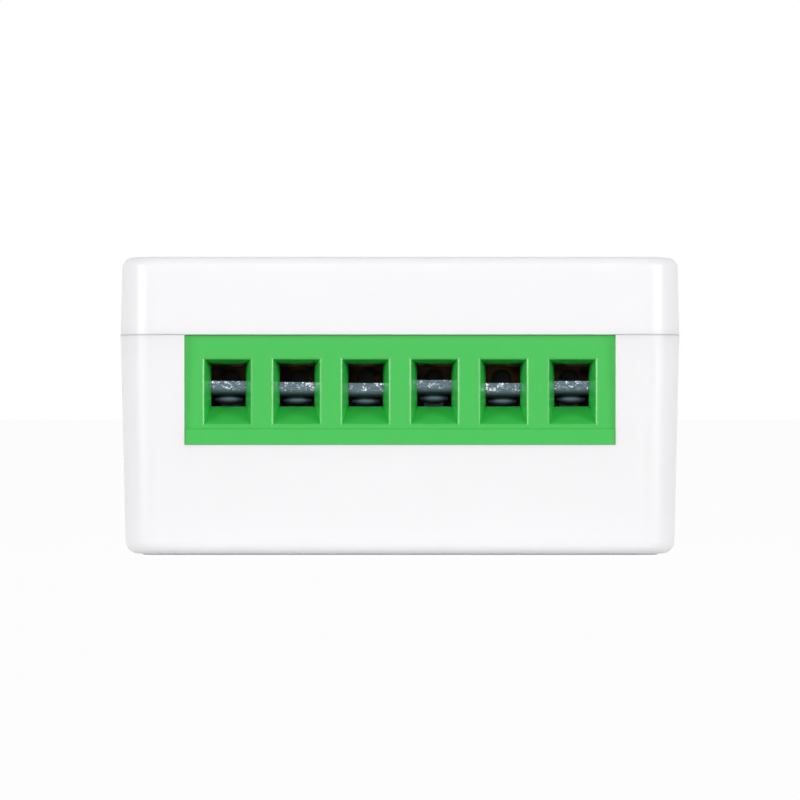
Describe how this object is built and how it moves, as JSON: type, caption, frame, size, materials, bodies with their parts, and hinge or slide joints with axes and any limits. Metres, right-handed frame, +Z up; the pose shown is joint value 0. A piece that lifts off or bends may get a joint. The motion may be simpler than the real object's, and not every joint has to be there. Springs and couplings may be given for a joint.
{
  "type": "smart relay module",
  "caption": "Small white two-shell plastic module that switches a mains load by radio, with a green row of screw terminals in its front.",
  "frame": {"origin": "middle of the flat underside", "axes": "+Z up through the lid, -Y out of the face with the wire entries, +X to the right seen from that face"},
  "size_m": [0.0414, 0.048, 0.022],
  "materials": {
    "case_plastic": "white moulded plastic, satin gloss",
    "button_plastic": "white moulded plastic, satin gloss",
    "clear_plastic": "clear moulded plastic, polished",
    "block_plastic": "green glass-filled nylon, fine matt",
    "cage_steel": "zinc-plated steel, tumbled and rough on its jaw",
    "screw_steel": "zinc-plated steel, bright",
    "contact_brass": "brass, dull",
    "board_laminate": "green solder resist on glass laminate",
    "radio_laminate": "dark blue solder resist on glass laminate",
    "shield_metal": "tin-plated steel can",
    "relay_plastic": "black moulded plastic",
    "bobbin_plastic": "natural moulded plastic",
    "coil_copper": "enamelled copper wire in turns",
    "soft_iron": "nickel-plated soft iron",
    "spring_copper": "copper alloy strip with a silver contact",
    "tinned_metal": "tinned pins",
    "can_sleeve": "dark sleeve over an aluminium can",
    "ferrite": "sintered ferrite",
    "former_plastic": "black phenolic former",
    "winding_tape": "yellow polyester tape over copper",
    "varistor_coating": "blue epoxy coating",
    "resistor_coating": "grey-green ceramic coating with tinned caps",
    "chip_plastic": "black moulded chip body with tinned legs",
    "chip_ceramic": "ceramic chip body with tinned ends",
    "switch_plastic": "black moulded plastic",
    "light_plastic": "clear moulded light body"
  },
  "bodies": {
    "case": {"base_shell": "case_plastic", "lid": "case_plastic", "light_pipe": "clear_plastic", "terminal_housing": "block_plastic", "main_board": "board_laminate", "relay_cover": "relay_plastic", "relay_base": "relay_plastic", "relay_bobbin": "bobbin_plastic", "relay_coil": "coil_copper", "relay_core": "soft_iron", "relay_yoke": "soft_iron", "relay_fixed_contact": "spring_copper", "relay_coil_pins": "tinned_metal", "input_capacitor": "can_sleeve", "output_capacitor": "can_sleeve", "filter_inductor": "ferrite", "varistor": "varistor_coating", "fuse_resistor": "resistor_coating", "transformer_core": "ferrite", "transformer_former": "former_plastic", "transformer_winding": "winding_tape", "transformer_pins": "tinned_metal", "opto_isolator": "chip_plastic", "power_controller": "chip_plastic", "bridge_rectifier": "chip_plastic", "voltage_regulator": "chip_plastic", "chip_resistors": "chip_ceramic", "radio_board": "radio_laminate", "radio_shield": "shield_metal", "tact_switch": "switch_plastic", "status_light": "light_plastic", "terminal_contact_1": "contact_brass", "terminal_contact_2": "contact_brass", "terminal_contact_3": "contact_brass", "terminal_contact_4": "contact_brass", "terminal_contact_5": "contact_brass", "terminal_contact_6": "contact_brass"},
    "screw_1": {"clamp_screw_1": "screw_steel"},
    "cage_1": {"clamp_cage_1": "cage_steel"},
    "screw_2": {"clamp_screw_2": "screw_steel"},
    "cage_2": {"clamp_cage_2": "cage_steel"},
    "screw_3": {"clamp_screw_3": "screw_steel"},
    "cage_3": {"clamp_cage_3": "cage_steel"},
    "screw_4": {"clamp_screw_4": "screw_steel"},
    "cage_4": {"clamp_cage_4": "cage_steel"},
    "screw_5": {"clamp_screw_5": "screw_steel"},
    "cage_5": {"clamp_cage_5": "cage_steel"},
    "screw_6": {"clamp_screw_6": "screw_steel"},
    "cage_6": {"clamp_cage_6": "cage_steel"},
    "button": {"pairing_button": "button_plastic", "tact_plunger": "switch_plastic"},
    "armature": {"relay_armature": "soft_iron", "relay_contact_blade": "spring_copper"}
  },
  "joints": [
    {"name": "screw_turn_1", "type": "hinge", "parent": "case", "child": "screw_1", "pos_m": [-0.0127, -0.0195, 0.019], "axis": [0, 0, -1], "range_deg": [-1527, 755]},
    {"name": "cage_lift_1", "type": "slide", "parent": "case", "child": "cage_1", "axis": [0, 0, 1], "range_m": [-0.00191, 0.00094]},
    {"name": "screw_turn_2", "type": "hinge", "parent": "case", "child": "screw_2", "pos_m": [-0.00762, -0.0195, 0.019], "axis": [0, 0, -1], "range_deg": [-1458, 823]},
    {"name": "cage_lift_2", "type": "slide", "parent": "case", "child": "cage_2", "axis": [0, 0, 1], "range_m": [-0.00182, 0.00103]},
    {"name": "screw_turn_3", "type": "hinge", "parent": "case", "child": "screw_3", "pos_m": [-0.00254, -0.0195, 0.019], "axis": [0, 0, -1], "range_deg": [-1401, 880]},
    {"name": "cage_lift_3", "type": "slide", "parent": "case", "child": "cage_3", "axis": [0, 0, 1], "range_m": [-0.00175, 0.0011]},
    {"name": "screw_turn_4", "type": "hinge", "parent": "case", "child": "screw_4", "pos_m": [0.00254, -0.0195, 0.019], "axis": [0, 0, -1], "range_deg": [-1583, 698]},
    {"name": "cage_lift_4", "type": "slide", "parent": "case", "child": "cage_4", "axis": [0, 0, 1], "range_m": [-0.00198, 0.00087]},
    {"name": "screw_turn_5", "type": "hinge", "parent": "case", "child": "screw_5", "pos_m": [0.00762, -0.0195, 0.019], "axis": [0, 0, -1], "range_deg": [-1401, 880]},
    {"name": "cage_lift_5", "type": "slide", "parent": "case", "child": "cage_5", "axis": [0, 0, 1], "range_m": [-0.00175, 0.0011]},
    {"name": "screw_turn_6", "type": "hinge", "parent": "case", "child": "screw_6", "pos_m": [0.0127, -0.0195, 0.019], "axis": [0, 0, -1], "range_deg": [-1527, 755]},
    {"name": "cage_lift_6", "type": "slide", "parent": "case", "child": "cage_6", "axis": [0, 0, 1], "range_m": [-0.00191, 0.00094]},
    {"name": "button_press", "type": "slide", "parent": "case", "child": "button", "axis": [0, 0, -1], "range_m": [0, 0.00025], "stiffness_N_per_m": 1000},
    {"name": "armature_pull", "type": "hinge", "parent": "case", "child": "armature", "pos_m": [-0.00896, -0.0095, 0.01356], "axis": [0, 0, -1], "range_deg": [0, 5], "stiffness_Nm_per_rad": 0.02}
  ],
  "couplings": [
    {"joint": "screw_turn_1", "follows": "cage_lift_1", "rad_per_m": 13963},
    {"joint": "screw_turn_2", "follows": "cage_lift_2", "rad_per_m": 13963},
    {"joint": "screw_turn_3", "follows": "cage_lift_3", "rad_per_m": 13963},
    {"joint": "screw_turn_4", "follows": "cage_lift_4", "rad_per_m": 13963},
    {"joint": "screw_turn_5", "follows": "cage_lift_5", "rad_per_m": 13963},
    {"joint": "screw_turn_6", "follows": "cage_lift_6", "rad_per_m": 13963}
  ]
}
